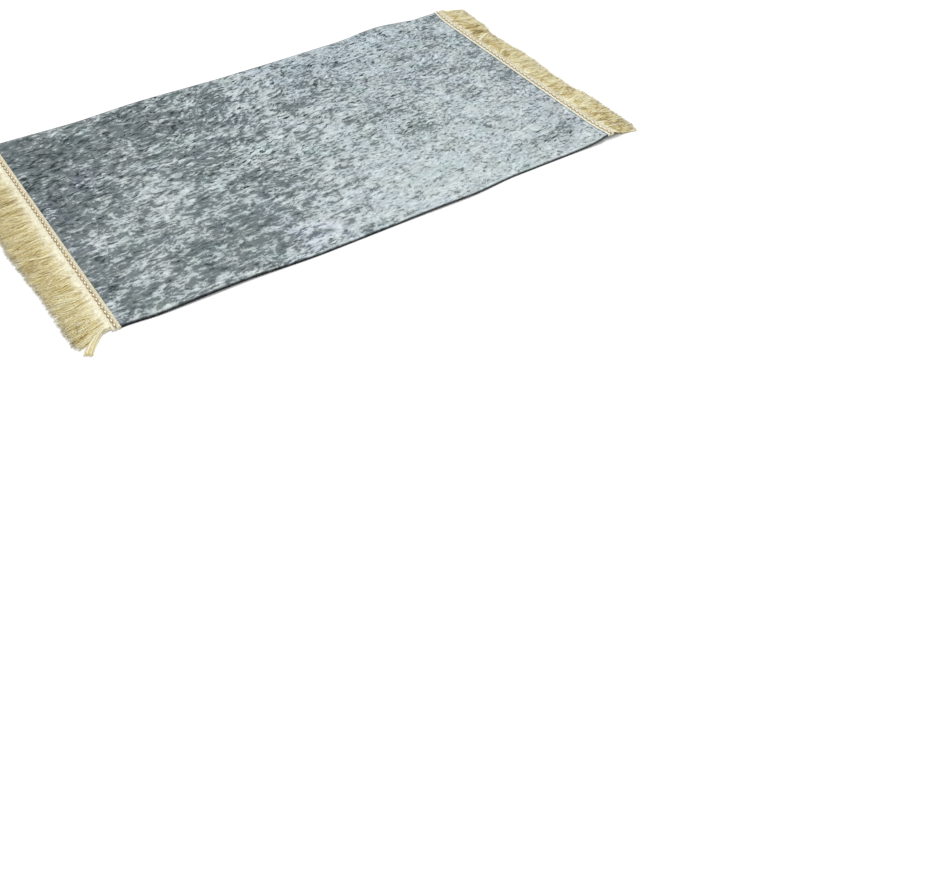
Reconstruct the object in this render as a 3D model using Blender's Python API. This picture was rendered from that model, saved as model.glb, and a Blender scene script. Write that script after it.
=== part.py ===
"""Prayer rug: one velvet panel with a fringed trim sewn along each short end.

Units are metres and +Z is up. The rug lies face up on z = 0 with its length along X. Places in the
tables are measured from the middle of the velvet, which the empty "rug_middle" puts where the whole
rug's box stands centred over the origin.
"""
import math
import random

import bmesh
import bpy

# Velvet panel
VELVET_SHOWN = 1.096        # velvet that shows between the two trims, along X
PANEL_WIDTH = 0.684         # nominal, across Y
PANEL_THICK = 0.003
HEM_ROUND = 0.0010          # how far the hemmed long edges swell outward at half their height
PANEL_CELLS_LONG = 34
PANEL_CELLS_WIDE = 18
EDGE_ROW = 0.012            # width of the narrow row of cells inside each hem

# Trim on each short end: a woven heading tape, a raised braid on it and a fringe past it
TRIM_WIDTH = 0.0160
TRIM_OVERHANG = 0.0025      # tape past the end of the velvet
TAPE_THICK = 0.0010
BRAID_WIDTH = 0.0064
BRAID_INSET = 0.0048        # from the tape's velvet side to the braid
BRAID_LINKS = 50
BRAID_WAIST = 0.55          # width between two links, as a share of the full width
BRAID_CREST = 0.0015
BRAID_DIP = 0.0009
FIT = 0.0003                # gap between neighbouring pieces

# Fringe
LOCKS = 120                 # on each end
LOCK_SHARE = 0.78           # of the pitch that a lock takes up at its root
ROOT_STRIP = 0.0040         # width of the strip that holds the roots, along X
ROOT_HEIGHT = 0.0024
RAGGED = 0.0050             # how far the tips fall short of their line, at most
LEAN_BEND = 1.25            # above 1 a lock leaves the strip straight and leans further out
CLUMP_LEAN = math.radians(1.9)
CLUMP_LOCKS = 11.0          # locks in one wave of the clumping

# Where the middle of the velvet lies, for the whole rug's box to be centred
MIDDLE_X = 0.0080
MIDDLE_Y = 0.0100

# Outline of the long edges: place along X, how far the cloth stands out past its nominal edge
FRONT_EDGE = (
    (-0.545, -0.0045),
    (-0.470, 0.0015),
    (-0.330, 0.0010),
    (-0.150, 0.0090),
    (0.050, 0.0085),
    (0.180, 0.0100),
    (0.300, 0.0015),
    (0.490, 0.0020),
    (0.545, -0.0010),
)
BACK_EDGE = (
    (-0.545, 0.0020),
    (-0.380, -0.0030),
    (-0.260, 0.0025),
    (-0.120, -0.0010),
    (0.080, 0.0000),
    (0.240, 0.0030),
    (0.385, 0.0090),
    (0.500, 0.0030),
    (0.545, 0.0015),
)

# Soft swells that lift the cloth: centre x, centre y, reach along x, reach along y, rise
SWELLS = (
    (0.385, 0.345, 0.120, 0.085, 0.0050),
    (0.560, -0.345, 0.130, 0.080, 0.0042),
    (-0.360, -0.345, 0.170, 0.070, 0.0020),
    (0.130, -0.355, 0.160, 0.070, 0.0016),
    (-0.170, 0.345, 0.150, 0.080, 0.0020),
    (-0.300, 0.020, 0.160, 0.120, 0.0016),
    (0.060, 0.110, 0.190, 0.110, 0.0018),
    (0.330, -0.080, 0.150, 0.130, 0.0015),
)
SWELL_LIMIT = 0.545         # past this the cloth stays level across the trim

# How the locks lie: share of the way from the front corner to the back, lean towards +Y in degrees,
# reach along X from the root strip to the line of the tips
LOCKS_LIE = {
    "left": (
        (0.000, -27.0, 0.0690),
        (0.020, -17.0, 0.0710),
        (0.070, -7.0, 0.0720),
        (0.200, 4.0, 0.0725),
        (0.320, 5.0, 0.0775),
        (0.450, -4.0, 0.0820),
        (0.680, 3.0, 0.0790),
        (0.860, -2.0, 0.0765),
        (1.000, 13.0, 0.0730),
    ),
    "right": (
        (0.000, -19.0, 0.0635),
        (0.060, -9.0, 0.0655),
        (0.220, 4.0, 0.0650),
        (0.320, 1.0, 0.0555),
        (0.400, -2.0, 0.0550),
        (0.520, 4.0, 0.0605),
        (0.750, 5.0, 0.0525),
        (0.865, -4.0, 0.0630),
        (1.000, -16.0, 0.0655),
    ),
}
SWEPT_LEAN = -36.0          # the corner lock at the left front, swept outward
SWEPT_REACH = 0.0570

# Sections of a lock: share of its length, share of its root width, height
LOCK_SECTIONS = (
    (0.30, 0.92, 0.0021),
    (0.68, 0.78, 0.0017),
    (1.00, 0.46, 0.0008),
)

# Colours (linear RGB), roughness, metallic value
FINISHES = {
    "velvet": ((0.30, 0.36, 0.41), 0.70, 0.0),
    "tape": ((0.82, 0.76, 0.60), 0.75, 0.0),
    "gold_braid": ((0.62, 0.40, 0.14), 0.45, 0.2),
    "fringe": ((0.76, 0.66, 0.38), 0.55, 0.0),
}

SIDES = {"left": -1.0, "right": 1.0}
TAPE_START = VELVET_SHOWN / 2.0
TAPE_END = TAPE_START + TRIM_WIDTH
PANEL_END = TAPE_END - TRIM_OVERHANG


def eased(rows, place, column=1):
    """Reads a column of a table at a place in its first column, easing from each row to the next."""
    if place <= rows[0][0]:
        return rows[0][column]
    for near, far in zip(rows, rows[1:]):
        if place <= far[0]:
            share = (place - near[0]) / (far[0] - near[0])
            share = share * share * (3.0 - 2.0 * share)
            return near[column] + (far[column] - near[column]) * share
    return rows[-1][column]


def edge_y(x, share):
    """Y at a share of the way from the front edge to the back edge."""
    front = -PANEL_WIDTH / 2.0 - eased(FRONT_EDGE, x)
    back = PANEL_WIDTH / 2.0 + eased(BACK_EDGE, x)
    return front + (back - front) * share


def lift(x, y):
    """Height of the cloth's underside over the floor."""
    x = max(-SWELL_LIMIT, min(SWELL_LIMIT, x))
    height = 0.0
    for centre_x, centre_y, reach_x, reach_y, rise in SWELLS:
        away = math.hypot((x - centre_x) / reach_x, (y - centre_y) / reach_y)
        if away < 1.0:
            height += rise * math.cos(away * math.pi / 2.0) ** 2
    return height


def row_shares():
    """Shares of the way across the panel at which it has a row of points."""
    narrow = EDGE_ROW / PANEL_WIDTH
    inner = [narrow + (1.0 - 2.0 * narrow) * i / PANEL_CELLS_WIDE for i in range(PANEL_CELLS_WIDE + 1)]
    return [0.0] + inner + [1.0]


ROWS = row_shares()


def trim_height(side, share):
    """Lift of the panel's end at a share of the way across, straight between the panel's rows."""
    x = SIDES[side] * SWELL_LIMIT
    for near, far in zip(ROWS, ROWS[1:]):
        if share <= far:
            low = lift(x, edge_y(x, near))
            high = lift(x, edge_y(x, far))
            return low + (high - low) * (share - near) / (far - near)
    return lift(x, edge_y(x, 1.0))


def material(name):
    """Principled BSDF with the colour, roughness and metallic value of a finish."""
    if name in bpy.data.materials:
        return bpy.data.materials[name]
    colour, roughness, metallic = FINISHES[name]
    made = bpy.data.materials.new(name)
    made.use_nodes = True
    shader = made.node_tree.nodes["Principled BSDF"]
    shader.inputs["Base Color"].default_value = (*colour, 1.0)
    shader.inputs["Roughness"].default_value = roughness
    shader.inputs["Metallic"].default_value = metallic
    return made


def add_object(name, mesh_builder, finish, parent):
    """Makes an object whose faces point out, with its material and parent."""
    bmesh.ops.recalc_face_normals(mesh_builder, faces=mesh_builder.faces)
    mesh = bpy.data.meshes.new(name)
    mesh_builder.to_mesh(mesh)
    mesh_builder.free()
    mesh.materials.append(material(finish))
    made = bpy.data.objects.new(name, mesh)
    made.parent = parent
    bpy.context.scene.collection.objects.link(made)
    return made


def skin(mesh_builder, rings):
    """Joins rings of equally many points by quads and caps the first and the last ring."""
    for ring, following in zip(rings, rings[1:]):
        for i, point in enumerate(ring):
            j = (i + 1) % len(ring)
            mesh_builder.faces.new((point, ring[j], following[j], following[i]))
    mesh_builder.faces.new(rings[0])
    mesh_builder.faces.new(rings[-1])


def velvet_panel(parent):
    """The rug's cloth: one sheet with rounded hems, lifted where the swells are."""
    columns = [-PANEL_END, -TAPE_START]
    columns += [TAPE_START * (2.0 * i / PANEL_CELLS_LONG - 1.0) for i in range(1, PANEL_CELLS_LONG)]
    columns += [TAPE_START, PANEL_END]
    builder = bmesh.new()
    under, over, hems = [], [], []
    for x in columns:
        outline_x = max(-SWELL_LIMIT, min(SWELL_LIMIT, x))
        low_row, high_row = [], []
        for share in ROWS:
            y = edge_y(outline_x, share)
            z = lift(x, y)
            low_row.append(builder.verts.new((x, y, z)))
            high_row.append(builder.verts.new((x, y, z + PANEL_THICK)))
        under.append(low_row)
        over.append(high_row)
        hem_pair = []
        for row, outward in ((0, -1.0), (-1, 1.0)):
            corner = low_row[row].co
            hem_pair.append(builder.verts.new(
                (x, corner.y + outward * HEM_ROUND, corner.z + PANEL_THICK / 2.0)))
        hems.append(hem_pair)
    for i in range(len(columns) - 1):
        for grid in (under, over):
            for j in range(len(ROWS) - 1):
                builder.faces.new((grid[i][j], grid[i + 1][j], grid[i + 1][j + 1], grid[i][j + 1]))
        for row, hem in ((0, 0), (-1, 1)):
            for grid in (under, over):
                builder.faces.new((grid[i][row], grid[i + 1][row], hems[i + 1][hem], hems[i][hem]))
    for i in (0, -1):
        for j in range(len(ROWS) - 1):
            builder.faces.new((under[i][j], under[i][j + 1], over[i][j + 1], over[i][j]))
        for row, hem in ((0, 0), (-1, 1)):
            builder.faces.new((under[i][row], over[i][row], hems[i][hem]))
    return add_object("velvet_panel", builder, "velvet", parent)


def heading_tape(side, parent):
    """The woven tape that is sewn over the panel's end, as one bar along Y."""
    out = SIDES[side]
    x_outline = out * SWELL_LIMIT
    builder = bmesh.new()
    rings = []
    for share in ROWS:
        y = edge_y(x_outline, share)
        low = trim_height(side, share) + PANEL_THICK + FIT
        high = low + TAPE_THICK
        corners = ((TAPE_START, low), (TAPE_END, low), (TAPE_END, high), (TAPE_START, high))
        rings.append([builder.verts.new((out * u, y, z)) for u, z in corners])
    skin(builder, rings)
    return add_object(f"heading_tape_{side}", builder, "tape", parent)


def gold_braid(side, parent):
    """The raised braid on the tape: a bar that swells once for each of its links."""
    out = SIDES[side]
    x_outline = out * SWELL_LIMIT
    middle = TAPE_START + BRAID_INSET + BRAID_WIDTH / 2.0
    # place in a link, share of the swell
    link_profile = ((0.0, 0.0), (0.30, 0.85), (0.70, 0.85))
    stations = [((i + place) / BRAID_LINKS, swell) for i in range(BRAID_LINKS) for place, swell in link_profile]
    stations.append((1.0, 0.0))
    builder = bmesh.new()
    rings = []
    for share, swell in stations:
        y = edge_y(x_outline, share)
        half = BRAID_WIDTH / 2.0 * (BRAID_WAIST + (1.0 - BRAID_WAIST) * swell)
        crest = BRAID_DIP + (BRAID_CREST - BRAID_DIP) * swell
        base = trim_height(side, share) + PANEL_THICK + FIT + TAPE_THICK + FIT
        section = ((-half, 0.0), (half, 0.0), (half * 0.6, crest), (-half * 0.6, crest))
        rings.append([builder.verts.new((out * (middle + u), y, base + z)) for u, z in section])
    skin(builder, rings)
    return add_object(f"gold_braid_{side}", builder, "gold_braid", parent)


def lock_way(side, index, chance):
    """Lean in radians of one lock of the fringe, and its reach along X."""
    if side == "left" and index == 0:
        return math.radians(SWEPT_LEAN), SWEPT_REACH
    place = (index + 0.5) / LOCKS
    lean = math.radians(eased(LOCKS_LIE[side], place))
    lean += CLUMP_LEAN * math.sin(2.0 * math.pi * index / CLUMP_LOCKS)
    reach = eased(LOCKS_LIE[side], place, column=2) - chance.uniform(0.0, RAGGED)
    return lean, reach


def fringe(side, parent):
    """The strip of roots past the panel's end, with the locks that lie on the floor from it."""
    out = SIDES[side]
    x_outline = out * SWELL_LIMIT
    strip_start = PANEL_END + FIT
    strip_end = strip_start + ROOT_STRIP
    chance = random.Random(f"fringe {side}")
    seams = [0.0]
    for index in range(LOCKS):
        for edge in (-LOCK_SHARE / 2.0, LOCK_SHARE / 2.0):
            seams.append((index + 0.5 + edge) / LOCKS)
    seams.append(1.0)

    builder = bmesh.new()
    strip = []
    for share in seams:
        y = edge_y(x_outline, share)
        low = trim_height(side, share)
        corners = ((strip_start, low), (strip_start, low + ROOT_HEIGHT),
                   (strip_end, low + ROOT_HEIGHT), (strip_end, low))
        strip.append([builder.verts.new((out * u, y, z)) for u, z in corners])
    for first, second in zip(strip, strip[1:]):
        for i, j in ((0, 1), (1, 2), (3, 0)):
            builder.faces.new((first[i], first[j], second[j], second[i]))
    for i in range(0, len(strip), 2):
        builder.faces.new((strip[i][2], strip[i][3], strip[i + 1][3], strip[i + 1][2]))
    builder.faces.new(strip[0])
    builder.faces.new(strip[-1])

    for index in range(LOCKS):
        near, far = strip[2 * index + 1], strip[2 * index + 2]
        ring = [near[3], far[3], far[2], near[2]]
        root_y = (near[3].co.y + far[3].co.y) / 2.0
        root_width = far[3].co.y - near[3].co.y
        lean, reach = lock_way(side, index, chance)
        for share, width, height in LOCK_SECTIONS:
            x = out * (strip_end + reach * share)
            y = root_y + reach * math.tan(lean) * share ** LEAN_BEND
            half = root_width * width / 2.0
            following = [builder.verts.new(corner) for corner in (
                (x, y - half, 0.0), (x, y + half, 0.0), (x, y + half, height), (x, y - half, height))]
            for i in range(4):
                j = (i + 1) % 4
                builder.faces.new((ring[i], ring[j], following[j], following[i]))
            ring = following
        builder.faces.new(ring)
    return add_object(f"fringe_{side}", builder, "fringe", parent)


def main():
    for old in list(bpy.data.objects):
        bpy.data.objects.remove(old, do_unlink=True)
    middle = bpy.data.objects.new("rug_middle", None)
    middle.location = (MIDDLE_X, MIDDLE_Y, 0.0)
    bpy.context.scene.collection.objects.link(middle)
    velvet_panel(middle)
    for side in SIDES:
        heading_tape(side, middle)
        gold_braid(side, middle)
        fringe(side, middle)


main()
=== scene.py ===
"""Looks of the prayer rug: crushed velvet with a woven tape, a chain braid and a thread fringe on each
short end, laid on a pale floor. Units are metres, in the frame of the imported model. Places in the
tables are measured from the middle of the velvet, which lies at MIDDLE in that frame.
"""
import math

import bpy
import numpy as np
from mathutils import Euler, Matrix, Vector


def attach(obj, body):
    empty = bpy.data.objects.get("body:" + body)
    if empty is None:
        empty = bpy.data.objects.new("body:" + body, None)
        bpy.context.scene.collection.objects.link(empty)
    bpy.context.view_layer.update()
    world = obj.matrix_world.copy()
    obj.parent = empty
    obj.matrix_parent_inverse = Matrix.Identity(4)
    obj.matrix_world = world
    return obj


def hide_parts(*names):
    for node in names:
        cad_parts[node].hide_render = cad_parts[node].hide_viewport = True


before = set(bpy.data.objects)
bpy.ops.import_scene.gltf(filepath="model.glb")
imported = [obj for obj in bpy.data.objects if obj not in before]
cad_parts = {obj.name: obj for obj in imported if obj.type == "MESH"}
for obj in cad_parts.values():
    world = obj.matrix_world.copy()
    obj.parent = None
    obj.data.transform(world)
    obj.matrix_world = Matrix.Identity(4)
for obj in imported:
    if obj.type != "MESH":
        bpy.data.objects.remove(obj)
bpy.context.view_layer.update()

# ---- layout, as in the solids

MIDDLE = np.array((0.008, 0.01, 0.0))
VELVET_SHOWN = 1.096
PANEL_WIDTH = 0.684
PANEL_THICK = 0.003
TRIM_WIDTH = 0.016
TRIM_OVERHANG = 0.0025
TAPE_THICK = 0.001
BRAID_WIDTH = 0.0064
BRAID_INSET = 0.0048
BRAID_LINKS = 50
FIT = 0.0003
SWELL_LIMIT = 0.545
TAPE_START = VELVET_SHOWN / 2.0
TAPE_END = TAPE_START + TRIM_WIDTH
PANEL_END = TAPE_END - TRIM_OVERHANG
SIDES = {"left": -1.0, "right": 1.0}
X_AXIS = (1.0, 0.0, 0.0)
MM = 0.001

# Outline of the long edges: place along X, how far the cloth stands out past its nominal edge
FRONT_EDGE = (
    (-0.545, -0.0045), (-0.47, 0.0015), (-0.33, 0.001), (-0.15, 0.009), (0.05, 0.0085), (0.18, 0.01),
    (0.3, 0.0015), (0.49, 0.002), (0.52, 0.0008), (0.545, -0.0036),
)
BACK_EDGE = (
    (-0.545, 0.002), (-0.38, -0.003), (-0.26, 0.0025), (-0.12, -0.001), (0.08, 0.0), (0.24, 0.003),
    (0.385, 0.009), (0.5, 0.003), (0.545, 0.0015),
)
# Soft swells that lift the cloth: centre x, centre y, reach along x, reach along y, rise
SWELLS = (
    (0.385, 0.345, 0.12, 0.085, 0.005), (0.56, -0.345, 0.13, 0.08, 0.0042),
    (-0.36, -0.345, 0.17, 0.07, 0.002), (0.13, -0.355, 0.16, 0.07, 0.0016), (-0.17, 0.345, 0.15, 0.08, 0.002),
    (-0.3, 0.02, 0.16, 0.12, 0.0016), (0.06, 0.11, 0.19, 0.11, 0.0018), (0.33, -0.08, 0.15, 0.13, 0.0015),
    (0.545, 0.35, 0.065, 0.055, 0.0042), (0.545, -0.345, 0.05, 0.045, 0.0016),
)
# Corner that has crept in and out a little: where it starts and is full along X and Y, shift in X and Y
CORNER_PULL = ((0.44, 0.548), (0.26, 0.345), (0.0025, -0.005))
PULL_FADES = (0.566, 0.62)  # the fringe's tips stay where they are

# How the fringe lies: share of the way from front to back, lean towards +Y in degrees, reach along X
FRINGE_LIES = {
    "left": (
        (0, -27, 0.069), (0.02, -17, 0.071), (0.07, -7, 0.072), (0.2, 4, 0.0725),
        (0.32, 5, 0.0775), (0.45, -4, 0.082), (0.68, 3, 0.079), (0.86, -2, 0.0765),
        (1, 13, 0.073),
    ),
    "right": (
        (0, -10, 0.057), (0.03, -6, 0.063), (0.06, -4, 0.065), (0.22, 4, 0.065),
        (0.32, 1, 0.0555), (0.4, -2, 0.055), (0.52, 4, 0.0605), (0.75, 5, 0.0525),
        (0.865, -4, 0.063), (1, -16, 0.0655),
    ),
}
LEAN_BEND = 1.25  # above 1 a strand leaves the tape straight and leans further out
REACH_FROM = 0.5658  # the reach of the fringe is counted from here

# ---- camera


def linked(name, data):
    """A new object in the scene."""
    made = bpy.data.objects.new(name, data)
    bpy.context.scene.collection.objects.link(made)
    return made


def make_camera():
    """The photograph's view: its place, turn and lens are fitted to the rug's corners and edges."""
    data = bpy.data.cameras.new("camera")
    data.sensor_width = 36.0
    data.lens = 38.627
    data.clip_start = 0.05
    data.clip_end = 60.0
    camera = linked("camera", data)
    turn = Euler([math.radians(angle) for angle in (42.3425, -1.2203, -35.2576)]).to_matrix().to_4x4()
    camera.matrix_world = Matrix.Translation((-0.82398, -1.74157, 1.18565)) @ turn
    bpy.context.scene.camera = camera


make_camera()

# ---- helpers for shapes


def ease(low, high, value):
    """0 below low, 1 above high, smooth between."""
    share = np.clip((value - low) / (high - low), 0.0, 1.0)
    return share * share * (3.0 - 2.0 * share)


def eased(rows, place, column=1):
    """Reads a column of a table at places in its first column, easing from each row to the next."""
    table = np.array(rows)
    place = np.clip(np.asarray(place, float), table[0, 0], table[-1, 0])
    i = np.clip(np.searchsorted(table[:, 0], place, side="right") - 1, 0, len(table) - 2)
    share = ease(table[i, 0], table[i + 1, 0], place)
    return table[i, column] + (table[i + 1, column] - table[i, column]) * share


def edge_y(x, share):
    """Y at a share of the way from the front edge to the back edge."""
    front = -PANEL_WIDTH / 2.0 - eased(FRONT_EDGE, x)
    back = PANEL_WIDTH / 2.0 + eased(BACK_EDGE, x)
    return front + (back - front) * share


def lift(x, y):
    """Height of the cloth's underside over the floor."""
    x = np.clip(x, -SWELL_LIMIT, SWELL_LIMIT)
    height = np.zeros(np.broadcast(x, y).shape)
    for centre_x, centre_y, reach_x, reach_y, rise in SWELLS:
        away = np.minimum(1.0, np.hypot((x - centre_x) / reach_x, (y - centre_y) / reach_y))
        height = height + rise * np.cos(away * math.pi / 2.0) ** 2
    return height


def end_line(side, share):
    """Y and lift of the cloth's end at shares of the way across."""
    x = SIDES[side] * SWELL_LIMIT
    y = edge_y(np.full(np.shape(share), x), share)
    return y, lift(x, y)


def ripple(x, y, wave, seed, count=28):
    """Smooth noise of about unit size: waves in random directions, about as long as wave."""
    chance = np.random.default_rng(seed)
    total = np.zeros(np.broadcast(x, y).shape)
    for _ in range(count):
        angle, phase = chance.uniform(0.0, 2.0 * math.pi, 2)
        rate = 2.0 * math.pi / (wave * chance.uniform(0.7, 1.5))
        total = total + np.sin((x * math.cos(angle) + y * math.sin(angle)) * rate + phase)
    return total * math.sqrt(2.0 / count)


def patch(x, y, centre_x, centre_y, reach_x, reach_y, turn=0.0):
    """1 at a patch's middle, falling smoothly towards 0 outside it; turn is in degrees."""
    c, s = math.cos(math.radians(turn)), math.sin(math.radians(turn))
    along = ((x - centre_x) * c + (y - centre_y) * s) / reach_x
    across = (-(x - centre_x) * s + (y - centre_y) * c) / reach_y
    return np.exp(-1.1 * (along ** 2 + across ** 2))


def patched(x, y, rows):
    """The sum of a table's patches: each row ends with its patch's strength in percent."""
    return sum(percent / 100.0 * patch(x, y, *place) for *place, percent in rows)


def pulled(points):
    """Points after the back right corner has crept along the floor."""
    (from_x, full_x), (from_y, full_y), (shift_x, shift_y) = CORNER_PULL
    x, y = points[:, 0], points[:, 1]
    share = ease(from_x, full_x, x) * ease(from_y, full_y, y) * (1.0 - ease(*PULL_FADES, x))
    return points + share[:, None] * np.array((shift_x, shift_y, 0.0))


def mesh_piece(name, points, faces, materials, face_materials=None):
    """A smooth-shaded mesh that rides on the rug, from points measured from the velvet's middle."""
    mesh = bpy.data.meshes.new(name)
    mesh.from_pydata((pulled(np.asarray(points)) + MIDDLE).tolist(), [], faces)
    for material in materials:
        mesh.materials.append(material)
    if face_materials is not None:
        mesh.polygons.foreach_set("material_index", np.asarray(face_materials, np.int32))
    mesh.polygons.foreach_set("use_smooth", np.ones(len(mesh.polygons), bool))
    mesh.validate()
    mesh.update()
    piece = linked(name, mesh)
    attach(piece, "root")
    return piece


def point_values(piece, name, values):
    """Stores one number for each point of a piece, for its material to read."""
    attribute = piece.data.attributes.new(name, "FLOAT", "POINT")
    attribute.data.foreach_set("value", np.asarray(values, np.float32))


def bake_map(piece, point_uv):
    """Gives a piece the map that its colours are baked through, from one place for each point."""
    layer = piece.data.uv_layers.new(name="OFBake")
    corners = np.empty(len(piece.data.loops), np.int32)
    piece.data.loops.foreach_get("vertex_index", corners)
    layer.data.foreach_set("uv", np.asarray(point_uv, np.float32)[corners].ravel())


def ring_faces(count, steps, sides):
    """Quads, then end caps, of tubes whose points are numbered tube by tube and ring by ring."""
    index = np.arange(count * steps * sides).reshape(count, steps, sides)
    near, far = index[:, :-1], index[:, 1:]
    quads = np.stack((near, far, np.roll(far, -1, axis=2), np.roll(near, -1, axis=2)), axis=-1)
    return quads.reshape(-1, 4).tolist() + index[:, 0].tolist() + index[:, -1, ::-1].tolist()


def unit(vectors):
    """Vectors brought to length 1."""
    return vectors / np.maximum(np.linalg.norm(vectors, axis=-1, keepdims=True), 1e-9)


def tubes(paths, sideways, width, height, sides):
    """Points and faces of many tubes with the same numbers of steps and sides.

    paths is tubes x steps x 3; the directions across them and their half sizes broadcast to it.
    """
    count, steps = paths.shape[:2]
    along = unit(np.gradient(paths, axis=1))
    upward = np.cross(sideways, along)
    upward = unit(upward * np.where(upward[..., 2:3] < 0.0, -1.0, 1.0))
    across = np.cross(along, upward)
    width, height = np.asarray(width)[..., None], np.asarray(height)[..., None]
    rings = []
    for i in range(sides):
        angle = 2.0 * math.pi * (i + (0.25 if sides % 2 else 0.5)) / sides
        rings.append(paths + across * width * math.cos(angle) + upward * height * math.sin(angle))
    return np.stack(rings, axis=2).reshape(-1, 3), ring_faces(count, steps, sides)


def joined(parts):
    """Joins (points, faces) pairs into one pair, with the number of each face's part."""
    points, faces, numbers, start = [], [], [], 0
    for number, (part_points, part_faces) in enumerate(parts):
        points.append(part_points)
        faces.extend([[i + start for i in face] for face in part_faces])
        numbers.extend([number] * len(part_faces))
        start += len(part_points)
    return np.concatenate(points), faces, numbers


# ---- helpers for materials


class Shader:
    """A material's node tree with short calls for its nodes."""

    def __init__(self, name, roughness, **constants):
        self.material = bpy.data.materials.new(name)
        self.material.use_nodes = True
        self.tree = self.material.node_tree
        self.surface = self.tree.nodes["Principled BSDF"]
        self.surface.inputs["Roughness"].default_value = roughness
        for key, value in constants.items():
            self.surface.inputs[key.replace("_", " ")].default_value = value

    def node(self, kind, settings=(), **inputs):
        """A new node; its inputs go by name, or by number as i0, i1 and so on."""
        made = self.tree.nodes.new(kind)
        for key, value in dict(settings).items():
            setattr(made, key, value)
        for key, value in inputs.items():
            self.feed(made.inputs[int(key[1:]) if key[1:].isdigit() else key], value)
        return made

    def feed(self, socket, value):
        if isinstance(value, bpy.types.NodeSocket):
            self.tree.links.new(value, socket)
        else:
            socket.default_value = value

    def maths(self, operation, a, b=0.0, c=0.0):
        return self.node("ShaderNodeMath", {"operation": operation}, i0=a, i1=b, i2=c).outputs[0]

    def times(self, a, b):
        return self.maths("MULTIPLY", a, b)

    def plus(self, a, b, share=1.0):
        """The sum of a and a share of b."""
        return self.maths("MULTIPLY_ADD", b, share, a)

    def vector(self, operation, a, b):
        return self.node("ShaderNodeVectorMath", {"operation": operation}, i0=a, i1=b).outputs[0]

    def scaled(self, a, b):
        """A place or a colour times another, part by part."""
        return self.vector("MULTIPLY", a, b)

    def noise(self, place, scale, detail=2.0, roughness=0.5, output=0):
        made = self.node("ShaderNodeTexNoise", {}, Vector=place, Scale=scale, Detail=detail,
                         Roughness=roughness)
        return made.outputs[output]

    def span(self, value, low, high, to_low=0.0, to_high=1.0, smooth=True):
        """The value moved from the range low to high to another, and kept within it."""
        kind = {"interpolation_type": "SMOOTHSTEP" if smooth else "LINEAR"}
        made = self.node("ShaderNodeMapRange", kind, i0=value, i1=low, i2=high, i3=to_low, i4=to_high)
        return made.outputs[0]

    def islands(self, place, scale, low, high, to_low=0.0, to_high=1.0, detail=1.0, smooth=True):
        """Soft islands of noise, with about scale of them to a metre."""
        return self.span(self.noise(place, scale, detail), low, high, to_low, to_high, smooth)

    def mix(self, share, a, b):
        made = self.node("ShaderNodeMix", {"data_type": "RGBA"})
        for number, value in ((0, share), (6, a), (7, b)):
            self.feed(made.inputs[number], value)
        return made.outputs[2]

    def ramp(self, value, stops):
        made = self.node("ShaderNodeValToRGB", {}, Fac=value)
        band = made.color_ramp
        band.elements[0].color = stops[0][1]
        band.elements[1].color = stops[-1][1]
        for at, colour in stops[1:-1]:
            band.elements.new(at).color = colour
        return made.outputs["Color"]

    def value(self, name):
        return self.node("ShaderNodeAttribute", {"attribute_name": name}).outputs["Fac"]

    def place(self):
        return self.node("ShaderNodeTexCoord").outputs["Object"]

    def shaded(self, colour, share):
        """The colour made darker or lighter by a share around 1."""
        return self.node("ShaderNodeVectorMath", {"operation": "SCALE"}, i0=colour, Scale=share).outputs[0]

    def finish(self, colour, height=None, depth=0.001, strength=1.0):
        self.feed(self.surface.inputs["Base Color"], colour)
        if height is not None:
            bump = self.node("ShaderNodeBump", {}, Strength=strength, Distance=depth, Height=height)
            self.feed(self.surface.inputs["Normal"], bump.outputs[0])
        return self.material


def rgb(red, green, blue):
    """Linear colour from screen values of 0 to 255."""
    def linear(value):
        value /= 255.0
        return value / 12.92 if value <= 0.04045 else ((value + 0.055) / 1.055) ** 2.4
    return (linear(red), linear(green), linear(blue), 1.0)


# ---- velvet: its colours

# How far the pile is turned to its light side, in spreads of the streak noise, at places along X
# a painted sheen of the nap: darker at the left and lighter at the right, as the pile catches the light
PAINTED_NAP_SHEEN = (
    (-0.56, -0.3), (-0.48, 0.05), (-0.36, 0.38), (-0.22, 0.38), (-0.11, 0.55), (-0.03, 1.05), (0.05, 1.24),
    (0.2, 1.28), (0.38, 1.36), (0.5, 1.2), (0.56, 1.0),
)
PAINTED_NAP_SHEEN_ACROSS = -1.45  # its change over a metre towards the back
PAINTED_NAP_SHEEN_SKEW = 0.1  # how far those places move along X for each metre towards the back
# Shades of the pile from turned away to turned to the light: level, screen value of the red in them
PILE_SHADES = (
    (-3.2, 43), (-2.4, 61), (-1.7, 85), (-1.1, 105), (-0.4, 115), (0.2, 120), (0.53, 128), (0.7, 162),
    (1.05, 172), (1.6, 184), (2.3, 197), (3.0, 207), (3.6, 217),
)
GREENER, BLUER = 10, 13  # how much higher their green and blue are
LIGHT_GAIN = 1.1  # how much brighter the light makes a colour than it is
LIGHT_OFFSET = 0.018  # what gloss adds to it
WARM_TINT = (1.028, 1.0, 0.972)
COOL_TINT = (0.972, 1.0, 1.028)
LAVENDER_TINT = (1.02, 0.965, 1.1)
MOSS_TINT = (0.97, 1.01, 0.975)
MOSS_SHARE = 0.8

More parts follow.
